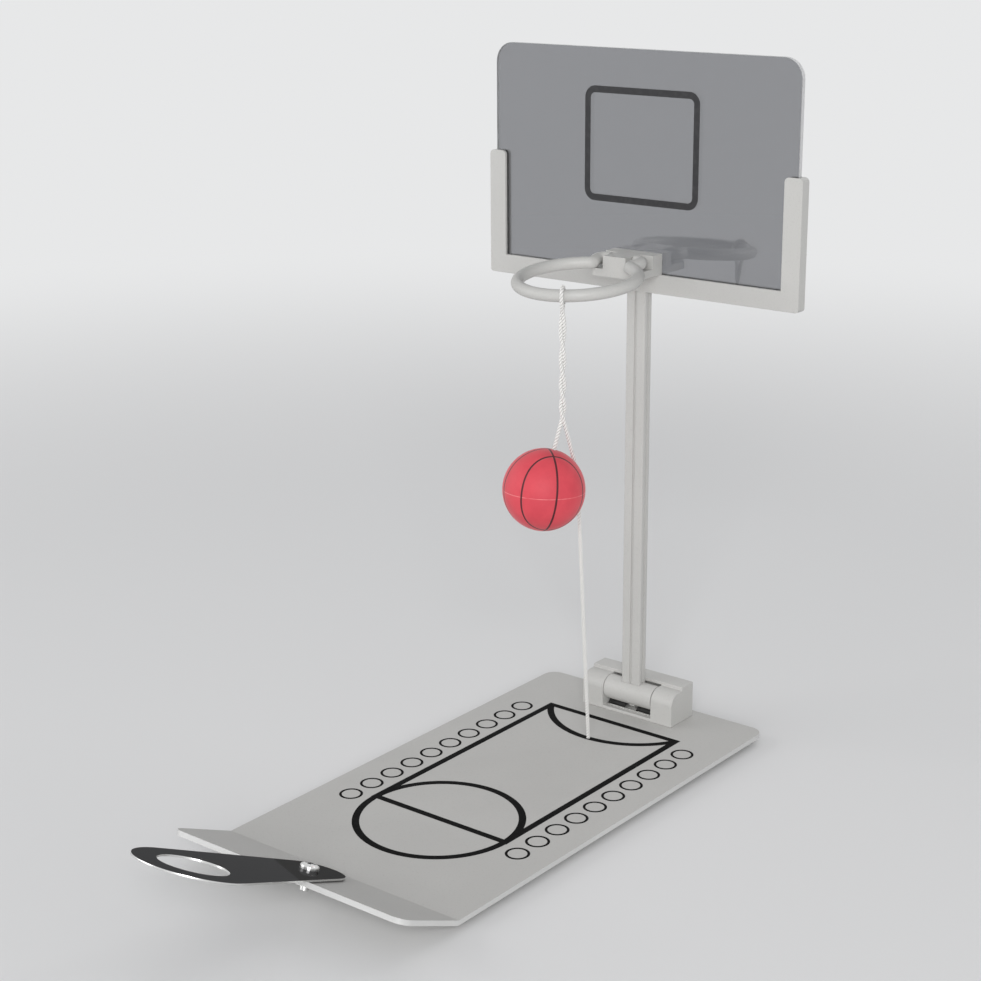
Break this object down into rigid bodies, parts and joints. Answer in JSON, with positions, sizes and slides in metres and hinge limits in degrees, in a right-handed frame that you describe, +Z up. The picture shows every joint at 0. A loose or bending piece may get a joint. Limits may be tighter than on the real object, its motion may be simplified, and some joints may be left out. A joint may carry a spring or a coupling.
{
  "type": "tabletop basketball game",
  "caption": "Desk basketball game: painted metal court, folding post with clear backboard and hoop, sprung flicking lever, and a rubber ball on a cord.",
  "frame": {"origin": "on the table, under the middle of the game's length and width", "axes": "+X to the player's right, +Y from the player to the backboard, +Z up"},
  "size_m": [0.13, 0.2544, 0.2476],
  "materials": {
    "painted_metal": "satin light grey paint",
    "clear_board": "clear acrylic",
    "polished_steel": "mirror polished spring steel",
    "plated_steel": "bright plated",
    "black_rubber": "matt",
    "ball_rubber": "soft matt pink-red with dark seams",
    "white_cord": "twisted white cotton"
  },
  "bodies": {
    "base": {"base_plate": "painted_metal", "foot_rear_left": "black_rubber", "foot_rear_right": "black_rubber", "foot_front_left": "black_rubber", "foot_front_right": "black_rubber", "hinge_housing": "painted_metal", "housing_screw_left": "plated_steel", "housing_screw_right": "plated_steel", "hinge_pin_left": "plated_steel", "hinge_pin_right": "plated_steel", "friction_leaf": "plated_steel", "launcher_leaf": "polished_steel", "launcher_washer": "plated_steel", "launcher_nut": "plated_steel", "launcher_screw": "plated_steel", "cord_knot": "white_cord", "cord_strand_lower": "white_cord", "cord_strand_middle": "white_cord", "cord_strand_upper": "white_cord"},
    "mast": {"mast_barrel": "painted_metal", "mast_post": "painted_metal", "post_screw": "plated_steel", "backboard_frame": "painted_metal", "frame_screw": "plated_steel", "backboard": "clear_board", "hoop_bracket": "painted_metal", "bracket_screw_left": "plated_steel", "bracket_screw_right": "plated_steel"},
    "hoop": {"hoop_ring": "painted_metal", "hoop_pin": "plated_steel"},
    "launcher": {"launcher_head": "polished_steel"},
    "hanging_ball": {"ball": "ball_rubber", "cord_pair": "white_cord", "cord_ball_strand": "white_cord"}
  },
  "joints": [
    {"name": "mast_fold", "type": "hinge", "parent": "base", "child": "mast", "pos_m": [0, 0.11299, 0.0119], "axis": [1, 0, 0], "range_deg": [0, 51], "deforming": ["cord_strand_lower", "cord_strand_middle", "cord_strand_upper"]},
    {"name": "hoop_fold", "type": "hinge", "parent": "mast", "child": "hoop", "pos_m": [0, 0.10269, 0.1769], "axis": [-1, 0, 0], "range_deg": [0, 100], "deforming": ["cord_strand_lower", "cord_strand_middle", "cord_strand_upper"]},
    {"name": "launcher_flex", "type": "hinge", "parent": "base", "child": "launcher", "pos_m": [0, -0.07651, 0.01709], "axis": [1, 0, 0], "range_deg": [-5, 15], "stiffness_Nm_per_rad": 5.5, "deforming": ["launcher_leaf"]},
    {"name": "ball_swing", "type": "hinge", "parent": "hoop", "child": "hanging_ball", "pos_m": [0.00763, 0.05714, 0.17243], "axis": [0.9278, 0.3712, 0.0364], "range_deg": [-5, 35], "deforming": ["cord_strand_lower", "cord_strand_middle", "cord_strand_upper"]}
  ]
}
